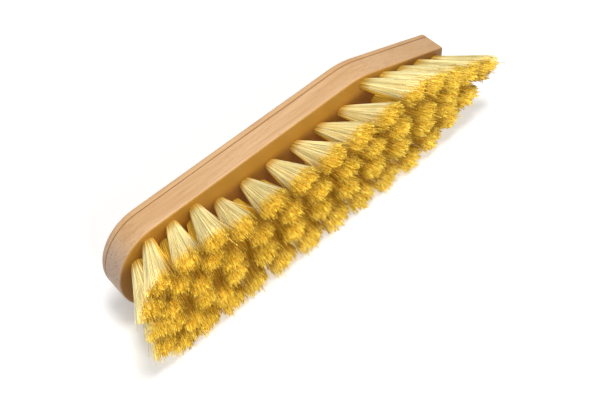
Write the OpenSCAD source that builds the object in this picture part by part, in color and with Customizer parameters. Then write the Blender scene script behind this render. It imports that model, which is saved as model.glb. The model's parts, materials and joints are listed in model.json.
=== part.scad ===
// Hand-drawn scrub brush, lying on its side.
// Lengths are in millimetres.
// The pieces are first described face up: u runs along the block from its round end to its nose,
// v runs across it, and w is the height above the face that the tufts stand in.

/* [Block] */
// Length of the block
block_l = 220; // [200:1:260]
// Width of the block
block_w = 60; // [56:1:70]
// Thickness of the drilled stock
stock_t = 12; // [10.5:0.1:16]
// Thickness of the glued back board
back_t = 3.7; // [3:0.1:6]
// Thickness of the glue film between the two boards
glue_t = 0.3; // [0.2:0.1:0.5]
// Length of the round end
end_l = 25; // [20:1:32]
// Length of the tapered nose
nose_l = 64; // [56:1:70]
// Width of the blunt end of the nose
nose_w = 10; // [8:1:16]
// Radius of the shoulder where the nose begins
shoulder_r = 45; // [20:1:60]
// Radius of the corners at the blunt end
corner_r = 2.5; // [2.2:0.1:4]
// Rounding of the edge round the back
back_edge_r = 2; // [1:0.1:2]
// Rounding of the edge round the face
face_edge_r = 1.2; // [0.6:0.1:2]
// How far the glue film stands back from the edge
glue_inset = 0.4; // [0.2:0.1:0.8]
// Small bevel on both sides of the glue film
seam_bevel = 0.25; // [0.1:0.05:0.4]

/* [Tuft holes] */
// Diameter of the holes for the tufts
hole_d = 6; // [5:0.1:6.4]
// Depth of the holes for the tufts
hole_depth = 8; // [6:0.1:8.5]
// Diameter of the small holes for the wire
pilot_d = 2.4; // [2.2:0.1:2.8]
// Distance between holes along a row
pitch = 16.2; // [15.5:0.1:16.5]
// Distance between the four long rows
row_gap = 9.2; // [8.5:0.1:9.6]
// Holes in each of the two outer rows
outer_count = 9; // [9:1:9]
// Holes in each of the two inner rows
inner_count = 11; // [11:1:11]
// Distance from the round end to the first hole of an outer row
end_margin = 12.9; // [12:0.1:14]
// Distance from the round end to the hole in its middle
middle_margin = 11.5; // [11:0.1:13]
// Distance between holes along the curved edges
edge_step = 13.3; // [12.8:0.1:13.5]
// Extra holes along each edge near the round end
edge_count = 3; // [3:1:3]
// Distance along the block from the first hole of an outer row to the first extra hole
edge_start = 9; // [8:0.5:9.5]
// Holes along each edge of the nose
nose_count = 4; // [4:1:4]
// Distance from the edge to the extra holes near the round end
edge_margin = 7.8; // [7:0.1:8.5]
// Distance from the edge to the holes along the nose
nose_margin = 6.2; // [5.8:0.1:7]
// Distance from the shoulder to the first hole along the nose
nose_start = 2; // [0:0.5:4]
// Share of a tuft's lean that is drilled into the wood
splay = 0.5; // [0:0.1:0.6]

/* [Tufts] */
// Height of the trimmed tips above the face
trim_h = 28; // [22:0.5:40]
// Strands in each tuft
strand_count = 8; // [6:1:8]
// Widest spread of a tuft at its tips, as a radius
tip_r = 9; // [6:0.5:9]
// Lean along the block for each millimetre from the upright tufts
lean_rate = 0.17; // [0.05:0.01:0.2]
// Place along the block where the tufts stand upright
lean_zero = -22; // [-40:1:0]
// Largest lean towards the nose
lean_max = 15; // [8:0.5:16]
// How much further out the tips stand than the roots, along the middle
fan_middle = 1.88; // [1.4:0.01:2]
// The same near the round end, on the free side
fan_end = 1.43; // [1.2:0.01:1.6]
// The same near the round end, on the side that the brush lies on
fan_floor = 1.25; // [1.1:0.01:1.4]
// The same along the nose
fan_nose = 1.3; // [1.1:0.01:1.5]
// How far the last tuft of the nose leans to the free side
nose_lift = 4; // [0:0.5:6]
// Farthest from the middle that the floor lets the tips of a tuft stand
floor_reach = 25.7; // [22:0.1:28]
// Farthest from the middle of the block that the tips at the round end stand
end_reach = 111.5; // [110:0.5:120]

/* [Wire] */
// Diameter of the drawing wire
wire_d = 0.7; // [0.5:0.05:0.8]
// Distance between the two legs of the wire in a small hole
leg_gap = 1.3; // [1.2:0.05:1.4]
// Depth below the face at which the wire crosses a tuft
cross_depth = 6.4; // [5.5:0.1:6.8]
// Width of the channels that the wire lies in
channel_w = 1; // [0.9:0.05:1.2]
// Depth of those channels
channel_depth = 0.9; // [0.8:0.05:1.2]

/* [Hidden] */
$fn = 48;
half_l = block_l / 2;
half_w = block_w / 2;
block_t = stock_t + glue_t + back_t;
shoulder_u = half_l - nose_l;
taper = atan((half_w - nose_w / 2) / nose_l);
end_u = half_l - end_l;
end_steps = 36;
shoulder_steps = 6;
corner_steps = 6;
round_steps = 5;
clearance = 0.05;
// How far a cutter reaches past the surface that it opens
overrun = 2;
plug_r = hole_d / 2 - clearance;
plug_sides = 12;
plug_proud = 0.8;
strand_base = 0.1;
root_spread = 2.1;
strand_sides = 4;
// Half-diagonal of a strand as a share of the spread of its tuft, and how far it is turned
strand_share = 0.22;
strand_turn = 30;
golden_angle = 137.508;
tip_gap = 0.2;
// Tufts beyond these two places belong to the round end or to the nose
end_zone = -55;
nose_zone = 44;
wire_sides = 6;
beech = "#d9b083";
glue_brown = "#6e4a2b";
fibre = "#dcb95e";
brass = "#b8963e";

// Outline of the block, drawn in by d, counter-clockwise from the lower corner of the nose

function arc(centre, r, from, to, steps) =
    [for (k = [0:steps]) let (a = from + (to - from) * k / steps) centre + r * [cos(a), sin(a)]];

// The taper line is where the product of its normal with a point has this value
taper_normal = [sin(taper), cos(taper)];
taper_reach = taper_normal * [half_l, nose_w / 2];
corner_centre = [
    half_l - corner_r,
    (taper_reach - corner_r - sin(taper) * (half_l - corner_r)) / cos(taper)
];
shoulder_centre = [shoulder_u - shoulder_r * tan(taper / 2), half_w - shoulder_r];

function flip(p) = [p[0], -p[1]];

function round_end(d) =
    [for (k = [0:end_steps]) let (a = 90 + 180 * k / end_steps)
        [(end_l - d) * cos(a) - end_u, (half_w - d) * sin(a)]];

function outline(d) = concat(
    arc(flip(corner_centre), corner_r - d, taper - 90, 0, corner_steps),
    arc(corner_centre, corner_r - d, 0, 90 - taper, corner_steps),
    arc(shoulder_centre, shoulder_r - d, 90 - taper, 90, shoulder_steps),
    round_end(d),
    arc(flip(shoulder_centre), shoulder_r - d, 270, 270 + taper, shoulder_steps)
);

// Section of the waste beside an edge at height z, rounded or, with one step, bevelled:
// each corner is a height and how far it lies inside the outline
function edge_waste(z, r, side, steps) = concat(
    [for (k = [0:steps]) let (a = 90 * k / steps) [z + side * r * (sin(a) - 1), r * (1 - cos(a))]],
    [[z + side * overrun, r], [z + side * overrun, -overrun], [z - side * r, -overrun]]
);

// That section swept round the outline
module edge_cutter(z, r, side, steps) {
    section = edge_waste(z, r, side, steps);
    loops = [for (corner = section) outline(corner[1])];
    count = len(loops[0]);
    corners = len(section);
    points = [for (k = [0:corners - 1]) for (p = loops[k]) [p[0], p[1], section[k][0]]];
    faces = [
        for (k = [0:corners - 1])
            for (j = [0:count - 1])
                let (
                    next_k = (k + 1) % corners * count,
                    next_j = (j + 1) % count,
                    face = [k * count + j, next_k + j, next_k + next_j, k * count + next_j]
                )
                    side > 0 ? reversed(face) : face
    ];
    polyhedron(points = points, faces = faces, convexity = 6);
}

// A board between two heights, with both its edges worked
module board(low, high, low_r, high_r, low_steps, high_steps) {
    difference() {
        translate([0, 0, low]) linear_extrude(high - low) polygon(outline(0));
        edge_cutter(low, low_r, -1, low_steps);
        edge_cutter(high, high_r, 1, high_steps);
    }
}

function reversed(list) = [for (k = [len(list) - 1:-1:0]) list[k]];

// Where the holes are, in the order in which the wire goes through them

function edge_at(u) =
    u > shoulder_u ? half_w - (u - shoulder_u) * tan(taper)
    : u > -end_u ? half_w
    : half_w * sqrt(1 - pow((u + end_u) / end_l, 2));

outer_start = end_margin - half_l;
function outer_hole(k) = [outer_start + k * pitch, 1.5 * row_gap];
function inner_hole(k) = [outer_start + (k + 0.5) * pitch, 0.5 * row_gap];
function edge_hole(k) =
    let (u = outer_start + edge_start + (edge_count - 1 - k) * edge_step) [u, edge_at(u) - edge_margin];
function nose_hole(k) =
    let (u = shoulder_u + nose_start + k * edge_step) [u, edge_at(u) - nose_margin / cos(taper)];
last_hole = [nose_hole(nose_count)[0], 0];
end_hole = [middle_margin - half_l, 0];

inner_line = [for (k = [inner_count - 1:-1:0]) inner_hole(k)];
upper_line = concat(
    [for (k = [nose_count - 1:-1:0]) nose_hole(k)],
    [for (k = [outer_count - 1:-1:edge_count]) outer_hole(k)],
    [for (k = [0:edge_count - 1]) each [edge_hole(k), outer_hole(edge_count - 1 - k)]]
);
holes = concat(
    inner_line,
    [for (p = reversed(inner_line)) flip(p)],
    [flip(upper_line[0]), last_hole],
    upper_line,
    [end_hole],
    [for (k = [len(upper_line) - 1:-1:1]) flip(upper_line[k])]
);
tuft_count = len(holes);

// Where the tips of each tuft are

function fan(p) =
    p[0] < end_zone ? (p[1] > 0 ? fan_end : fan_floor)
    : p[0] > nose_zone ? fan_nose
    : fan_middle;
function tip_of(p) = [
    max(p[0] + min(lean_rate * (p[0] - lean_zero), lean_max), -end_reach),
    max(p[1] * fan(p), -floor_reach) + (p == last_hole ? nose_lift : 0)
];
tips = [for (p = holes) tip_of(p)];

// A tuft spreads until it meets its nearest neighbour
function nearest(i) = min([for (j = [0:tuft_count - 1]) if (j != i) norm(tips[i] - tips[j])]);
spreads = [for (i = [0:tuft_count - 1]) min(tip_r, nearest(i) / 2 - tip_gap)];

function lean_of(i) = tips[i] - holes[i];
function axis_of(i) =
    let (lean = splay * lean_of(i), far = [lean[0], lean[1], trim_h]) far / norm(far);
// The point of a hole's axis at height w
function on_axis(i, w) =
    let (axis = axis_of(i)) [holes[i][0], holes[i][1], 0] + axis * (w / axis[2]);

// Strands stand in a sunflower pattern, so that each has the same room. The last of them, which
// stands farthest out, is on the side of the floor.
function strand_angle(j) = (j + 1 - strand_count) * golden_angle - 90;
function strand_r(spread) = strand_share * spread;
function strand_ring(centre, spread, j, w) =
    let (
        turn = strand_angle(j),
        r = strand_r(spread),
        out = (spread - r) * sqrt((j + 0.5) / strand_count),
        at = centre + out * [cos(turn), sin(turn)]
    )
        [for (m = [0:strand_sides - 1])
            let (a = turn + strand_turn + m * 360 / strand_sides)
                [at[0] + r * cos(a), at[1] + r * sin(a), w]];

tip_corners = [
    for (i = [0:tuft_count - 1])
        for (j = [0:strand_count - 1])
            each strand_ring(tips[i], spreads[i], j, trim_h)
];
low_v = min([for (p = tip_corners) p[1]]);
low_u = min(-half_l, min([for (p = tip_corners) p[0]]));
high_u = max(half_l, max([for (p = tip_corners) p[0]]));

// How the brush lies: on the lower edge of its back and on the tips of its lowest tufts

rest_v = half_w - back_edge_r;
rest_w = block_t - back_edge_r;
rest_reach = [low_v + rest_v, trim_h + rest_w];
tilt = -asin(back_edge_r / norm(rest_reach)) - atan2(rest_reach[0], rest_reach[1]);
lift = rest_v * cos(tilt) + rest_w * sin(tilt) + back_edge_r;
back_y = rest_v * sin(tilt) + rest_w * cos(tilt) + back_edge_r;
front_y = low_v * sin(tilt) - trim_h * cos(tilt);

module laid() {
    translate([-(low_u + high_u) / 2, -(back_y + front_y) / 2, lift])
        rotate([90 - tilt, 0, 0])
            children();
}

// The route of the wire

function flat(p) = [p[0], p[1]];
function unit(v) = v / norm(v);
exits = [for (i = [0:tuft_count - 1]) flat(on_axis(i, -stock_t))];
function travel(i) = unit(exits[min(i + 1, tuft_count - 1)] - exits[max(i - 1, 0)]);
run_w = channel_depth / 2 - stock_t;
function leg(i, w, side) =
    let (at = on_axis(i, w), go = side * leg_gap / 2 * travel(i)) [at[0] + go[0], at[1] + go[1], w];
route = [
    for (i = [0:tuft_count - 1])
        each [leg(i, run_w, -1), leg(i, -cross_depth, -1), leg(i, -cross_depth, 1), leg(i, run_w, 1)]
];

// Ring k of the wire lies in the plane that halves the bend at point k
function run(k) = unit(route[k + 1] - route[k]);
function bend(k) = k == len(route) - 1 ? run(k - 1) : run(k - 1) + run(k);
function next_ring(ring, k) =
    [for (p = ring) p + run(k - 1) * (((route[k] - p) * bend(k)) / (run(k - 1) * bend(k)))];
first_ring =
    let (go = travel(0), side = [-go[1], go[0], 0], front = cross(side, run(0)))
        [for (m = [0:wire_sides - 1])
            let (a = m * 360 / wire_sides) route[0] + wire_d / 2 * (side * cos(a) + front * sin(a))];
wire_rings = [
    for (k = 0, ring = first_ring; k < len(route);
        ring = k + 1 < len(route) ? next_ring(ring, k + 1) : ring, k = k + 1) ring
];

function two_digits(n) = str(n < 10 ? "0" : "", n);
tuft_names = [for (i = [1:tuft_count]) str("tuft_", two_digits(i))];

// A tube or strand whose rings of equal count follow each other
module skin(rings) {
    count = len(rings[0]);
    last = (len(rings) - 1) * count;
    points = [for (ring = rings) each ring];
    sides = [
        for (k = [0:len(rings) - 2])
            for (j = [0:count - 1])
                let (a = k * count + j, b = k * count + (j + 1) % count)
                    each [[a, a + count, b + count], [a, b + count, b]]
    ];
    bottom = [for (j = [1:count - 2]) [0, j, j + 1]];
    top = [for (j = [1:count - 2]) [last, last + j + 1, last + j]];
    polyhedron(points = points, faces = concat(bottom, sides, top), convexity = 4);
}

// Turns a piece that stands along w so that it stands along the axis of hole i
module along_hole(i) {
    axis = axis_of(i);
    translate([holes[i][0], holes[i][1], 0])
        rotate([0, acos(axis[2]), atan2(axis[1], axis[0])])
            children();
}

// A hole for a tuft, with the small hole for the wire that goes on to the back. The quarter turn
// keeps the line at which a round surface closes away from its highest and lowest points.
module drilled_hole(i) {
    along_hole(i) rotate([0, 0, 90]) {
        translate([0, 0, -hole_depth]) cylinder(d = hole_d, h = hole_depth + overrun);
        translate([0, 0, -stock_t - overrun]) cylinder(d = pilot_d, h = stock_t);
    }
}

// The channel that the wire lies in on its way from hole i to the next
module wire_channel(i) {
    from = flat(leg(i, run_w, 1));
    to = flat(leg(i + 1, run_w, -1));
    go = to - from;
    middle = (from + to) / 2;
    translate([middle[0], middle[1], (channel_depth - overrun) / 2 - stock_t])
        rotate([0, 0, atan2(go[1], go[0])])
            cube([norm(go) + channel_w, channel_w, channel_depth + overrun], center = true);
}

// Drilled stock of the block
module stock() {
    color(beech) laid() difference() {
        board(-stock_t, 0, seam_bevel, face_edge_r, 1, round_steps);
        for (i = [0:tuft_count - 1]) drilled_hole(i);
        for (i = [0:tuft_count - 2]) wire_channel(i);
    }
}

// Glued back that covers the wire
module back_board() {
    color(beech) laid()
        board(-block_t, -stock_t - glue_t, back_edge_r, seam_bevel, round_steps, 1);
}

// Glue film that shows as a dark line all round the edge
module glue_film() {
    color(glue_brown) laid()
        translate([0, 0, -stock_t - glue_t]) linear_extrude(glue_t) polygon(outline(glue_inset));
}

// One wire that draws every tuft into its hole
module drawing_wire() {
    color(brass) laid() skin(wire_rings);
}

// Folded end of tuft i, packed in its hole, with the slot that the wire lies in
module tuft_plug(i) {
    slot_l = leg_gap + wire_d + 4 * clearance;
    slot_w = wire_d + 4 * clearance;
    slot_h = hole_depth - cross_depth + wire_d / 2 + 2 * clearance;
    axis = axis_of(i);
    go = travel(i);
    difference() {
        along_hole(i)
            translate([0, 0, -hole_depth])
                cylinder(r = plug_r, h = hole_depth + plug_proud, $fn = plug_sides);
        along_hole(i)
            rotate([0, 0, atan2(go[1], go[0]) - atan2(axis[1], axis[0])])
                translate([-slot_l / 2, -slot_w / 2, -hole_depth - overrun])
                    cube([slot_l, slot_w, slot_h + overrun]);
    }
}

// Tuft i: its strands flare from the folded end and are cut to one height
module tuft(i) {
    color(fibre) laid() {
        tuft_plug(i);
        for (j = [0:strand_count - 1])
            skin([
                strand_ring(flat(on_axis(i, strand_base)), root_spread, j, strand_base),
                strand_ring(tips[i], spreads[i], j, trim_h)
            ]);
    }
}

echo(tufts = tuft_count, strands = tuft_count * strand_count, tilt = tilt, lowest_tip = low_v);
echo(least_space_between_tips = min([for (i = [0:tuft_count - 1]) nearest(i) - 2 * spreads[i]]));

stock();
back_board();
glue_film();
drawing_wire();
for (i = [0:tuft_count - 1])
    tuft(i);
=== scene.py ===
# Wooden scrub brush lying on its side: its looks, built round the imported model.
import json
import math

import bpy
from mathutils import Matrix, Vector


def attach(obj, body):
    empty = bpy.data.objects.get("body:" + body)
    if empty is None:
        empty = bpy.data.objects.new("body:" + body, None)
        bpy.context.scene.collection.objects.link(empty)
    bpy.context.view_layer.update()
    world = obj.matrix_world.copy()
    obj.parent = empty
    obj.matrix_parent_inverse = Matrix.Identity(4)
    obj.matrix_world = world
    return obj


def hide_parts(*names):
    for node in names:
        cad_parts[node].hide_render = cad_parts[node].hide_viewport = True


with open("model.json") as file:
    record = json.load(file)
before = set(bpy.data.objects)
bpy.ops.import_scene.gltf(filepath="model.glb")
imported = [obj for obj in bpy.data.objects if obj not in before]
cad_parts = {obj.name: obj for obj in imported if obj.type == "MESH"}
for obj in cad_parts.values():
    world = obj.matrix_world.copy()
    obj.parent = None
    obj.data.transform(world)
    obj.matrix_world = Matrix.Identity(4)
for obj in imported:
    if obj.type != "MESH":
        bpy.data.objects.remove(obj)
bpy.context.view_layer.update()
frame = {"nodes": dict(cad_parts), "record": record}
nodes = frame["nodes"]
print("packed model loaded:", len(nodes), "nodes")


def srgb(red, green, blue):  # 0 to 255, as picked on screen, to the linear colour that nodes take
    def linear(value):
        value /= 255
        return value / 12.92 if value <= 0.04045 else ((value + 0.055) / 1.055) ** 2.4
    return (linear(red), linear(green), linear(blue), 1.0)


class Wire:  # an output socket that takes part in Python expressions
    def __init__(self, graph, socket):
        self.graph, self.socket = graph, socket

    def output(self, name):  # another output of the same node
        return Wire(self.graph, self.socket.node.outputs[name])

    def math(self, operation, first, second=0.0):
        return self.graph.add("ShaderNodeMath", {"operation": operation}, {0: first, 1: second})

    def __add__(self, other): return self.math("ADD", self, other)
    def __radd__(self, other): return self.math("ADD", other, self)
    def __sub__(self, other): return self.math("SUBTRACT", self, other)
    def __rsub__(self, other): return self.math("SUBTRACT", other, self)
    def __mul__(self, other): return self.math("MULTIPLY", self, other)
    def __truediv__(self, other): return self.math("DIVIDE", self, other)
    def __pow__(self, other): return self.math("POWER", self, other)

    def atLeast(self, other): return self.math("MAXIMUM", self, other)
    def atMost(self, other): return self.math("MINIMUM", self, other)
    def sine(self): return self.math("SINE", self)
    def cosine(self): return self.math("COSINE", self)


class Graph:  # a node tree, emptied and filled anew
    def __init__(self, tree):
        self.tree = tree
        tree.nodes.clear()

    def add(self, kind, settings=None, inputs=None, out=0):
        node = self.tree.nodes.new(kind)
        for name, value in (settings or {}).items():
            setattr(node, name, value)
        for key, value in (inputs or {}).items():
            if isinstance(value, Wire):
                self.tree.links.new(value.socket, node.inputs[key])
            else:
                node.inputs[key].default_value = value
        return Wire(self, node.outputs[out]) if len(node.outputs) else node

    def vector(self, operation, first, second=(0, 0, 0)):
        return self.add("ShaderNodeVectorMath", {"operation": operation}, {0: first, 1: second})

    def plus(self, first, second): return self.vector("ADD", first, second)
    def minus(self, first, second): return self.vector("SUBTRACT", first, second)
    def dot(self, first, second): return self.vector("DOT_PRODUCT", first, second).output("Value")
    def distance(self, first, second): return self.vector("DISTANCE", first, second).output("Value")
    def length(self, vector): return self.vector("LENGTH", vector).output("Value")

    def scaled(self, vector, amount):
        return self.add("ShaderNodeVectorMath", {"operation": "SCALE"}, {0: vector, "Scale": amount})

    def objectPlace(self):
        return self.add("ShaderNodeTexCoord").output("Object")

    def mix(self, mask, first, second):  # colours
        return self.add("ShaderNodeMix", {"data_type": "RGBA"}, {0: mask, 6: first, 7: second}, out=2)

    def ramp(self, value, low, high, toLow=0.0, toHigh=1.0):  # a smooth step from low to high
        ends = {"From Min": low, "From Max": high, "To Min": toLow, "To Max": toHigh}
        return self.add("ShaderNodeMapRange", {"interpolation_type": "SMOOTHSTEP"}, {"Value": value, **ends})

    def noise(self, vector, scale, detail=3.0, roughness=0.5, distortion=0.0):
        return self.add("ShaderNodeTexNoise", {}, {"Vector": vector, "Scale": scale, "Detail": detail,
                                                  "Roughness": roughness, "Distortion": distortion})

    def grain(self, place, stretch, **kind):  # noise in drawn-out or shrunk space
        return self.noise(self.add("ShaderNodeMapping", {}, {"Vector": place, "Scale": stretch}), **kind)

    def tuftNoise(self, disc, turn, scale, detail, out="Fac"):  # over a tuft's disc, another for each turn
        return self.add("ShaderNodeTexNoise", {"noise_dimensions": "4D"},
                        {"Vector": disc, "W": turn, "Scale": scale, "Detail": detail}, out=out)


def newFinish(name):
    material = bpy.data.materials.new(name)
    material.use_nodes = True
    return material, Graph(material.node_tree)


def finishSurface(graph, sockets):  # the shader itself: varying sockets linked, plain numbers set on it
    shader = graph.add("ShaderNodeBsdfPrincipled", {}, sockets)
    graph.add("ShaderNodeOutputMaterial", {}, {"Surface": shader})


def intoScene(thing):
    bpy.context.scene.collection.objects.link(thing)


# the brush's own axes, read from the model
alongBlock = Vector((1, 0, 0))
outward = -Vector(frame["record"]["mounts"][0]["axis"])  # the way the tufts stand
acrossBlock = outward.cross(alongBlock)


def spanAlong(points, direction):
    reach = [point.dot(direction) for point in points]
    return min(reach), max(reach)


stockPoints = [vertex.co.copy() for vertex in nodes["stock"].data.vertices]
faceLevel = spanAlong(stockPoints, outward)[1]
faceCentre = (alongBlock * sum(spanAlong(stockPoints, alongBlock)) / 2
              + acrossBlock * sum(spanAlong(stockPoints, acrossBlock)) / 2 + outward * faceLevel)
print("face centre", [round(value, 4) for value in faceCentre])

cameraSetup = {
    "lens": 48.49, "azimuth": -41.83, "elevation": 60.0, "distance": 0.41785, "nearest": 0.01,
    "aside": 0.00174, "below": 0.01894,  # where the middle of the picture is, from the middle of the face
}

turn, rise = math.radians(-cameraSetup["azimuth"]), math.radians(cameraSetup["elevation"])
forward = Vector((math.cos(rise) * math.sin(turn), math.cos(rise) * math.cos(turn), -math.sin(rise)))
rightward = Vector((math.cos(turn), -math.sin(turn), 0))
upward = rightward.cross(forward)
pictureCentre = faceCentre + rightward * cameraSetup["aside"] - upward * cameraSetup["below"]
cameraData = bpy.data.cameras.new("camera")
cameraData.lens = cameraSetup["lens"]
cameraData.clip_start = cameraSetup["nearest"]
camera = bpy.data.objects.new("camera", cameraData)
camera.location = pictureCentre - forward * cameraSetup["distance"]
camera.rotation_euler = forward.to_track_quat("-Z", "Y").to_euler()
intoScene(camera)
bpy.context.scene.camera = camera

stageSetup = {
    "size": 6.0, "floor": (0.92, 0.92, 0.92, 1.0), "world": 0.27,
    "lift": (0.27, 0.92), "liftFrom": (0.25, 1.15),  # glow near and far, which keeps it white all over
}

floorFinish, graph = newFinish("paper floor")
lightPath = graph.add("ShaderNodeLightPath")
clearRay = lightPath.output("Is Camera Ray").atLeast(lightPath.output("Is Glossy Ray"))
away = graph.length(graph.objectPlace())
lift = clearRay * graph.ramp(away, *stageSetup["liftFrom"], *stageSetup["lift"])
glow = graph.add("ShaderNodeCombineColor", {}, {0: lift, 1: lift, 2: lift})
finishSurface(graph, {"Base Color": stageSetup["floor"], "Roughness": 1.0, "Specular IOR Level": 0.0,
                      "Emission Color": glow, "Emission Strength": 1.0})
half = stageSetup["size"] / 2
floorMesh = bpy.data.meshes.new("floor")
floorCorners = [(-half, -half, 0), (half, -half, 0), (half, half, 0), (-half, half, 0)]
floorMesh.from_pydata(floorCorners, [], [(0, 1, 2, 3)])
floorMesh.materials.append(floorFinish)
floor = bpy.data.objects.new("floor", floorMesh)
intoScene(floor)

world = bpy.data.worlds.new("studio")
world.use_nodes = True
bpy.context.scene.world = world
graph = Graph(world.node_tree)
lightPath = graph.add("ShaderNodeLightPath")
seen = lightPath.output("Is Camera Ray").atLeast(lightPath.output("Is Glossy Ray"))
strength = seen * (1 - stageSetup["world"]) + stageSetup["world"]  # white where it is seen, softer as a light
sky = graph.add("ShaderNodeBackground", {}, {"Color": (1, 1, 1, 1), "Strength": strength})
graph.add("ShaderNodeOutputWorld", {}, {"Surface": sky})

lamps = {
    "overhead": {"place": (0.05, 0.015, 0.78), "aim": (0, 0, 0.02), "size": 0.20, "watts": 3.35},
    "front": {"place": (-0.10, -0.58, 0.60), "aim": (0, 0, 0.02), "size": 0.30, "watts": 2.0},
}
for name, lamp in lamps.items():
    data = bpy.data.lights.new(name, "AREA")
    data.shape, data.size, data.energy = "DISK", lamp["size"], lamp["watts"]
    light = bpy.data.objects.new(name, data)
    light.location = lamp["place"]
    light.rotation_euler = (Vector(lamp["aim"]) - Vector(lamp["place"])).to_track_quat("-Z", "Y").to_euler()
    intoScene(light)
bpy.context.scene.view_settings.view_transform = "Standard"
print("camera, floor and lamps placed")

woodLook = {  # a pair named step, from or edge is the two ends of a smooth step
    "pale": srgb(228, 186, 138), "deep": srgb(208, 160, 109), "nose": srgb(186, 142, 94),
    "bands": {"stretch": (6.0, 60.0, 60.0), "scale": 1.6, "detail": 5.0, "roughness": 0.6, "distortion": 0.4},
    "fine": {"stretch": (40.0, 700.0, 700.0), "scale": 1.0, "detail": 3.0, "roughness": 0.6},
    "bandShare": 0.6, "fineShare": 0.4, "toneStep": (0.35, 0.65),
    "fleck": srgb(176, 122, 74), "fleckShare": 0.35, "fleckStep": (0.62, 0.74), "fleckDepth": 0.5,
    "flecks": {"stretch": (260.0, 1500.0, 1500.0), "scale": 1.0, "detail": 1.0, "roughness": 0.5},
    "noseFrom": (0.02, 0.11), "noseShare": 0.45,
    "endGrain": srgb(212, 179, 150), "endPore": srgb(150, 108, 80), "endStep": (0.12, 0.75),
    "pores": {"stretch": (300.0, 900.0, 900.0), "scale": 1.0, "detail": 2.0, "roughness": 0.6},
    "poreStep": (0.5, 0.72), "poreShare": 0.6,
    # painted shade and bounce light on the face of the block: amber, darker in the bed of tufts
    "face": srgb(194, 143, 47), "bedShadeDeep": srgb(144, 96, 28), "faceShadeStep": (0.45, 0.98), "faceShadeShare": 0.9,
    "bedEdge": (0.0125, 0.0215),  # from the middle of the face to where the tufts end
    "roughStep": (0.3, 0.7), "roughness": (0.46, 0.6), "relief": 0.25, "reliefDepth": 0.0002,
}


def beechFinish(name):
    look = woodLook
    material, graph = newFinish(name)
    place = graph.objectPlace()
    normal = graph.add("ShaderNodeNewGeometry").output("Normal")

    # long grain, with the short dark flecks of beech
    fine = graph.grain(place, **look["fine"])
    flecks = graph.ramp(graph.grain(place, **look["flecks"]), *look["fleckStep"])
    tone = graph.grain(place, **look["bands"]) * look["bandShare"] + fine * look["fineShare"]
    colour = graph.mix(graph.ramp(tone, *look["toneStep"]), look["deep"], look["pale"])
    colour = graph.mix(flecks * look["fleckShare"], colour, look["fleck"])
    # darker towards the nose
    noseWay = graph.ramp(graph.dot(place, tuple(alongBlock)), *look["noseFrom"], 0.0, look["noseShare"])
    colour = graph.mix(noseWay, colour, look["nose"])

    # cut fibres and open pores at the ends of the block
    pores = graph.ramp(graph.grain(place, **look["pores"]), *look["poreStep"])
    endWay = graph.dot(normal, tuple(alongBlock))
    endColour = graph.mix(pores * look["poreShare"], look["endGrain"], look["endPore"])
    colour = graph.mix(graph.ramp(endWay * endWay, *look["endStep"]), colour, endColour)

    # painted shade and bounce light: the face, in the shade of the tufts, is drawn amber as if lit from the
    # golden fibres, and darker in the bed of tufts, where shade falls
    faceShadeWay = graph.ramp(graph.dot(normal, tuple(outward)), *look["faceShadeStep"])
    aside = graph.dot(place, tuple(acrossBlock)) - faceCentre.dot(acrossBlock)
    outOfBed = graph.ramp((aside * aside) ** 0.5, *look["bedEdge"])
    faceShadeColour = graph.mix(outOfBed, look["bedShadeDeep"], look["face"])
    colour = graph.mix(faceShadeWay * look["faceShadeShare"], colour, faceShadeColour)

    bump = graph.add("ShaderNodeBump", {}, {"Strength": look["relief"], "Distance": look["reliefDepth"],
                                           "Height": fine - flecks * look["fleckDepth"]})
    rough = graph.ramp(fine, *look["roughStep"], *look["roughness"])
    finishSurface(graph, {"Base Color": colour, "Roughness": rough, "Normal": bump})
    return material


glueLook = {"dark": srgb(70, 44, 28), "light": srgb(112, 74, 46), "spots": 90.0, "roughness": 0.7}
wireLook = {"brass": srgb(196, 164, 92), "spots": 400.0, "roughStep": (0.3, 0.7), "roughness": (0.28, 0.42)}

glueFinish, graph = newFinish("glue line")
spots = graph.noise(graph.objectPlace(), glueLook["spots"])
glueColour = graph.mix(spots, glueLook["dark"], glueLook["light"])
finishSurface(graph, {"Base Color": glueColour, "Roughness": glueLook["roughness"]})

wireFinish, graph = newFinish("brass wire")
spots = graph.noise(graph.objectPlace(), wireLook["spots"])
wireRough = graph.ramp(spots, *wireLook["roughStep"], *wireLook["roughness"])
finishSurface(graph, {"Base Color": wireLook["brass"], "Metallic": 1.0, "Roughness": wireRough})

finishes = {"stock": beechFinish("beech stock"), "back_board": beechFinish("beech back"),
            "glue_film": glueFinish, "drawing_wire": wireFinish}
for nodeName, finish in finishes.items():
    nodes[nodeName].data.materials.clear()
    nodes[nodeName].data.materials.append(finish)
print("wood, glue and wire finished")

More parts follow.
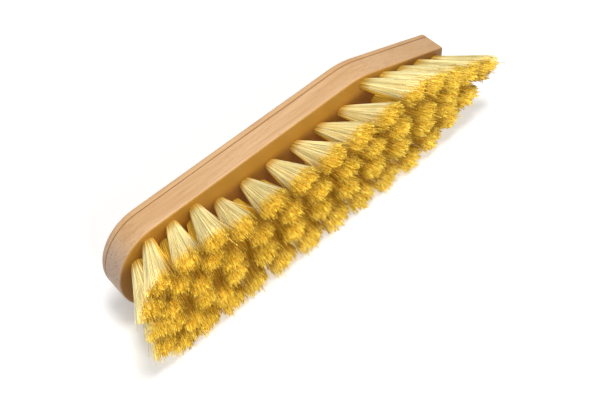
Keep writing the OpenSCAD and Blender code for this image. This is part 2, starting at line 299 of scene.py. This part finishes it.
tuftLook = {  # lengths in metres
    "fibres": 560, "steps": 5, "thickness": 0.00037, "taper": (1.1, 0.25), "sides": 3, "sink": 0.003,
    "rootRadius": 0.0026, "tipRadius": (0.0082, 0.0095), "fullness": 1.17,
    "endReach": -0.1186, "endSkew": 0.1,  # how far past the round end a tuft may reach
    "equalLength": 0.1, "dome": 0.0038, "domePower": 3, "domeHeld": 0.5, "uneven": 0.0010, "unevenPower": 2,
    "lumps": 0.0022, "lumpLevel": 0.4, "flare": 1.0, "clearFloor": 0.00025,
    "clump": 0.0020, "clumpNoise": {"scale": 2.6, "detail": 1.0}, "clumpTurn": 3.7,
    "lockNoise": {"scale": 4.2, "detail": 1.5}, "lockTurn": 5.1, "lockStart": 40, "lockStep": (0.32, 0.68),
    "wander": 0.0007, "wanderLeast": 0.4, "wanderMore": 4, "wanderPower": 6, "stray": 9.0, "strayPower": 120,
    "toneChance": 0.7, "toneLock": 0.3, "valleyPower": 4,
    "neighbours": 0.028, "openGap": 2.2, "openOver": 0.5, "cornerGap": 3.3, "edgeMore": 0.5, "endWay": 0.5,
    "toFree": (-0.3, 0.5),  # somewhat to the free side, where most light is
    "tipBand": 0.0005, "rootBand": 0.002, "circleSteps": 400,
}
fibreLook = {  # steps as in woodLook, over the length of a fibre or over how far out it stands
    # painted light and shade: the amber root and golden fibres in the shade, the cream drawn only where light
    # falls
    "amber": srgb(210, 168, 64), "shadeGold": srgb(242, 202, 70), "goldFrom": (0.05, 0.55),
    "cream": srgb(255, 240, 176), "litStep": (-0.15, 0.3), "creamFrom": (0.10, 0.34), "creamTo": (0.84, 1.06),
    "creamTone": 0.12, "creamEdge": 0.3, "edgeStep": (0.85, 1.25),
    # painted light: the cut ends golden, for light that passes among the fibres
    "cut": srgb(255, 235, 98), "cutDeep": srgb(211, 165, 30), "cutFrom": (0.88, 0.99), "cutEdge": 0.8,
    # painted shade, dark where tufts meet
    "hollowShade": srgb(138, 86, 12), "hollowFrom": (0.5, 0.9), "hollowShare": 0.92,
    "fray": 0.55, "frayNoise": {"scale": 1150.0, "detail": 2.0, "roughness": 0.7}, "frayStep": (0.38, 0.62),
    "frayFrom": (0.72, 0.9), "bright": 0.54, "brightTip": 0.14, "brightFrom": (0.7, 0.95), "brightTone": 0.80,
    # the glow is painted light, for light that shines through the fibres
    "saturation": 1.04, "saturationTone": 0.08, "roughness": 0.38, "shine": 0.5, "glow": 0.18,
}
# each random value of a fibre has its own number, so a new one leaves the others as they are
draws = {"rim": 1, "angle": 2, "drift": 3, "wander": 4, "uneven": 5, "tone": 6, "stray": 7}
drawsPerTuft = 16


def fibreFinish():
    look = fibreLook
    material, graph = newFinish("plant fibre")

    def mark(name):
        return graph.add("ShaderNodeAttribute", {"attribute_name": name}, out="Fac")

    along, shown, tone, valleyShade = mark("along"), mark("shown"), mark("tone"), mark("valleyShade")

    # painted light and shade: amber at the wood, golden in the shade and cream where the light falls
    side = graph.mix(graph.ramp(along, *look["goldFrom"]), look["amber"], look["shadeGold"])
    outer = graph.ramp(shown, *look["edgeStep"])
    creamTip = along + tone * look["creamTone"] - outer * look["creamEdge"]
    creamEnd = graph.ramp(creamTip, *look["creamTo"], 1.0, 0.0)
    lit = graph.ramp(shown, *look["litStep"]) * graph.ramp(along, *look["creamFrom"]) * creamEnd
    colour = graph.mix(lit, side, look["cream"])

    # cut ends, split, painted golden for light that passes among the fibres, and painted shade, dark where
    # tufts meet
    cutWay = graph.ramp(along, *look["cutFrom"]) * (1 - outer * look["cutEdge"])
    colour = graph.mix(cutWay, colour, graph.mix(tone, look["cutDeep"], look["cut"]))
    hollowShadeWay = valleyShade * graph.ramp(along, *look["hollowFrom"]) * look["hollowShare"]
    colour = graph.mix(hollowShadeWay, colour, look["hollowShade"])
    fray = graph.ramp(graph.noise(graph.objectPlace(), **look["frayNoise"]), *look["frayStep"]) - 0.5
    fray = 1 + fray * graph.ramp(along, *look["frayFrom"]) * look["fray"]
    brightTip = graph.ramp(along, *look["brightFrom"]) * look["brightTip"]
    bright = (look["bright"] + brightTip + tone * look["brightTone"]) * fray
    saturation = look["saturation"] - tone * look["saturationTone"]
    shade = graph.add("ShaderNodeHueSaturation", {}, {"Hue": 0.5, "Saturation": saturation, "Value": bright,
                                                     "Color": colour})
    finishSurface(graph, {"Base Color": shade, "Roughness": look["roughness"],
                          "Specular IOR Level": look["shine"],
                          "Emission Color": shade, "Emission Strength": look["glow"]})  # painted light: the fibres glow in their own colour, standing in for light that shines through them
    return material


tuftInputs = {  # kind of each input, and the setting that it takes where all tufts share one
    "Root": ("Vector", None), "Tip": ("Vector", None),
    "Across": ("Vector", None), "Outside": ("Vector", None),
    "Root Radius": ("Float", "rootRadius"), "Tip Radius": ("Float", None),
    "Thickness": ("Float", "thickness"),
    "Fibres": ("Int", "fibres"), "Steps": ("Int", "steps"), "Seed": ("Int", None),
    "Equal Length": ("Float", "equalLength"), "Dome": ("Float", "dome"), "Uneven": ("Float", "uneven"),
    "Wander": ("Float", "wander"), "Clump": ("Float", "clump"), "Flare": ("Float", "flare"),
    "Lumps": ("Float", "lumps"), "Stray": ("Float", "stray"), "Clear Floor": ("Float", "clearFloor"),
}


def tuftTree(finish):
    look = tuftLook
    tree = bpy.data.node_groups.new("fibre tuft", "GeometryNodeTree")
    tree.interface.new_socket("Geometry", in_out="OUTPUT", socket_type="NodeSocketGeometry")
    keys = {}
    for label, (kind, setting) in tuftInputs.items():
        socket = tree.interface.new_socket(label, in_out="INPUT", socket_type="NodeSocket" + kind)
        keys[label] = socket.identifier
    graph = Graph(tree)
    take = graph.add("NodeGroupInput").output
    seed = take("Seed")

    points = graph.add("GeometryNodePoints", {}, {"Count": take("Fibres")})
    line = graph.add("GeometryNodeCurvePrimitiveLine", {}, {"End": (0, 0, 1)})
    line = graph.add("GeometryNodeResampleCurve", {}, {"Curve": line, "Count": take("Steps") + 1})
    fibres = graph.add("GeometryNodeInstanceOnPoints", {}, {"Points": points, "Instance": line})
    fibres = graph.add("GeometryNodeRealizeInstances", {}, {0: fibres})
    which = graph.add("GeometryNodeCurveOfPoint").output("Curve Index")
    along = graph.add("GeometryNodeSplineParameter").output("Factor")

    def draw(name, kind, low, high, first, out):  # one random value for each fibre
        turn = seed * drawsPerTuft + draws[name]
        return graph.add("FunctionNodeRandomValue", {"data_type": kind},
                         {first: low, first + 1: high, "ID": which, "Seed": turn}, out=out)

    def chance(name, low=0.0, high=1.0):
        return draw(name, "FLOAT", low, high, 2, 1)

    # each fibre has its place in a disc, which is small at the root and wide at the tip
    rim = chance("rim") ** 0.5
    angle = chance("angle", 0.0, 2 * math.pi)
    across = graph.scaled(take("Across"), angle.sine())
    disc = graph.scaled(graph.plus(graph.scaled(tuple(alongBlock), angle.cosine()), across), rim)
    clump = graph.tuftNoise(disc, seed * look["clumpTurn"], **look["clumpNoise"], out="Color")
    clump = graph.scaled(graph.minus(clump, (0.5, 0.5, 0.5)), take("Clump") * 2)
    lock = graph.tuftNoise(disc, seed * look["lockTurn"] + look["lockStart"], **look["lockNoise"])
    lock = graph.ramp(lock, *look["lockStep"])  # the locks that the ends of a tuft gather in
    shown = graph.dot(disc, take("Outside"))
    edge = graph.length(take("Outside"))  # 1 at the edge of the brush, 0 in its midst

    # every fibre has nearly one length, so the ends of a tuft stand square to its axis
    root = graph.plus(take("Root"), graph.scaled(disc, take("Root Radius")))
    flatTip = graph.plus(take("Tip"), graph.plus(graph.scaled(disc, take("Tip Radius")), clump))
    reach = graph.minus(flatTip, root)
    flatLength = graph.length(reach)
    axisLength = graph.distance(take("Tip"), take("Root"))
    dome = rim ** look["domePower"] * (1 - shown.atLeast(edge * look["domeHeld"]).atMost(1.0)) * take("Dome")
    shorter = dome + chance("uneven") ** look["unevenPower"] * take("Uneven")
    longer = (lock - look["lumpLevel"]) * take("Lumps")
    length = flatLength + (axisLength - flatLength) * take("Equal Length") - shorter + longer
    place = graph.plus(root, graph.scaled(reach, along * length / flatLength))

    # the way it bends outward and wanders, more for a few strays, but never into the floor
    flare = (take("Tip Radius") - take("Root Radius")) * (along ** take("Flare") - along)
    place = graph.plus(place, graph.scaled(disc, flare))
    drift = draw("drift", "FLOAT_VECTOR", (-1, -1, -1), (1, 1, 1), 0, 0)
    stray = chance("stray") ** look["strayPower"] * take("Stray")
    wander = look["wanderLeast"] + chance("wander") ** look["wanderPower"] * look["wanderMore"] + stray
    place = graph.plus(place, graph.scaled(drift, take("Wander") * along ** 2 * wander))
    parts = graph.add("ShaderNodeSeparateXYZ", {}, {0: place})
    height = parts.output("Z").atLeast(take("Clear Floor"))
    place = graph.add("ShaderNodeCombineXYZ", {}, {0: parts.output("X"), 1: parts.output("Y"), 2: height})
    fibres = graph.add("GeometryNodeSetPosition", {}, {"Geometry": fibres, "Position": place})

    marks = {
        "along": along,
        # how far out a fibre stands, which the finish paints as lit in cream and as shade in golden tones
        "shown": shown + edge.atMost(1.0) - 1,
        "tone": chance("tone") * look["toneChance"] + lock * look["toneLock"],
        # painted shade at the rim of a tuft's end, on its inward side, where tufts meet
        "valleyShade": rim ** look["valleyPower"] * (1 - shown.atLeast(0.0)).atLeast(0.0),
    }
    for name, value in marks.items():
        fibres = graph.add("GeometryNodeStoreNamedAttribute", {"data_type": "FLOAT", "domain": "POINT"},
                           {"Geometry": fibres, "Name": name, "Value": value})
    section = graph.add("GeometryNodeCurvePrimitiveCircle", {}, {"Resolution": look["sides"], "Radius": 1.0})
    width = take("Thickness") / 2 * (look["taper"][0] - along * look["taper"][1])
    skin = graph.add("GeometryNodeCurveToMesh", {}, {"Curve": fibres, "Profile Curve": section,
                                                     "Fill Caps": True, "Scale": width})
    skin = graph.add("GeometryNodeRealizeInstances", {}, {0: skin})
    skin = graph.add("GeometryNodeSetMaterial", {}, {"Geometry": skin, "Material": finish})
    graph.add("NodeGroupOutput", {}, {0: skin})
    return tree, keys


def smallestCircle(points):  # of points given as (u, v), by stepping towards the farthest
    u, v = (sum(point[k] for point in points) / len(points) for k in (0, 1))
    for k in range(tuftLook["circleSteps"]):
        far = max(points, key=lambda point: math.hypot(point[0] - u, point[1] - v))
        u, v = u + (far[0] - u) / (k + 2), v + (far[1] - v) / (k + 2)
    return u, v, max(math.hypot(point[0] - u, point[1] - v) for point in points)


def clamped(value, low, high):
    return min(max(value, low), high)


def tuftDiscs(node):  # where a tuft leaves the wood and where its tips are, read from its solid
    corners = [vertex.co for vertex in node.data.vertices]
    points = [(co.dot(alongBlock), co.dot(acrossBlock), co.dot(outward) - faceLevel) for co in corners]
    top = max(point[2] for point in points)
    tips = smallestCircle([point for point in points if point[2] > top - tuftLook["tipBand"]])
    radius = clamped(tips[2] * tuftLook["fullness"], *tuftLook["tipRadius"])
    endReach = tuftLook["endReach"] + tuftLook["endSkew"] * min(tips[1] - faceCentre.dot(acrossBlock), 0)
    tips = (max(tips[0], endReach + radius), tips[1], radius)
    roots = [point for point in points if 0 < point[2] < tuftLook["rootBand"]]
    root = [sum(point[k] for point in roots) / len(roots) for k in (0, 1, 2)]
    return root, tips, top


def outsideWay(tip, others):  # out of the widest gap between the tufts around it, and nothing in their midst
    look = tuftLook
    ways = [Vector((other[0] - tip[0], other[1] - tip[1])) for other in others]
    angles = sorted(math.atan2(way.y, way.x) for way in ways if 0 < way.length < look["neighbours"])
    following = angles[1:] + [angles[0] + 2 * math.pi]
    gap, start = max((after - before, before) for before, after in zip(angles, following))
    middle = start + gap / 2
    way = (Vector((math.cos(middle), math.sin(middle))) + Vector(look["toFree"])).normalized()
    edge = clamped((gap - look["openGap"]) / look["openOver"], 0, 1)
    corner = max(gap - look["cornerGap"], 0)
    roundEnd = max(-way.x - look["endWay"], 0) * edge
    return way * (edge + min(corner + roundEnd, look["edgeMore"]))


def onBrush(u, v, w):  # a point given along, across and out of the face
    return tuple(alongBlock * u + acrossBlock * v + outward * (faceLevel + w))


tree, keys = tuftTree(fibreFinish())
tuftNames = sorted(name for name in nodes if name.startswith("tuft_"))
discs = {name: tuftDiscs(nodes[name]) for name in tuftNames}
triangleCount = 0
for order, name in enumerate(tuftNames):
    root, tips, top = discs[name]
    depth = -tuftLook["sink"]
    plug = 0.5 * (depth - root[2]) / (top - root[2])  # in the hole it leans half as much as outside
    outside = outsideWay(tips, [disc[1] for disc in discs.values()])
    base = bpy.data.meshes.new(name + "_seed")
    base.from_pydata([(0, 0, 0)], [], [])
    holder = bpy.data.objects.new(name + "_fibres", base)
    intoScene(holder)
    modifier = holder.modifiers.new("fibres", "NODES")
    modifier.node_group = tree
    sizes = {label: tuftLook[setting] for label, (kind, setting) in tuftInputs.items() if setting}
    sizes["Root"] = onBrush(root[0] + (tips[0] - root[0]) * plug, root[1] + (tips[1] - root[1]) * plug, depth)
    sizes["Tip"] = onBrush(tips[0], tips[1], top)
    sizes["Across"] = tuple(acrossBlock)
    sizes["Outside"] = tuple(alongBlock * outside.x + acrossBlock * outside.y)
    sizes["Tip Radius"] = tips[2]
    sizes["Seed"] = order + 1
    for label, value in sizes.items():
        modifier[keys[label]] = value
    shape = bpy.data.meshes.new_from_object(holder.evaluated_get(bpy.context.evaluated_depsgraph_get()))
    holder.modifiers.clear()
    holder.data = shape
    bpy.data.meshes.remove(base)
    shape.name = name + "_fibres"
    triangleCount += sum(len(face.vertices) - 2 for face in shape.polygons)
    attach(holder, "root")
    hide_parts(name)
print("tufts made:", len(tuftNames), "of", triangleCount, "triangles in all")
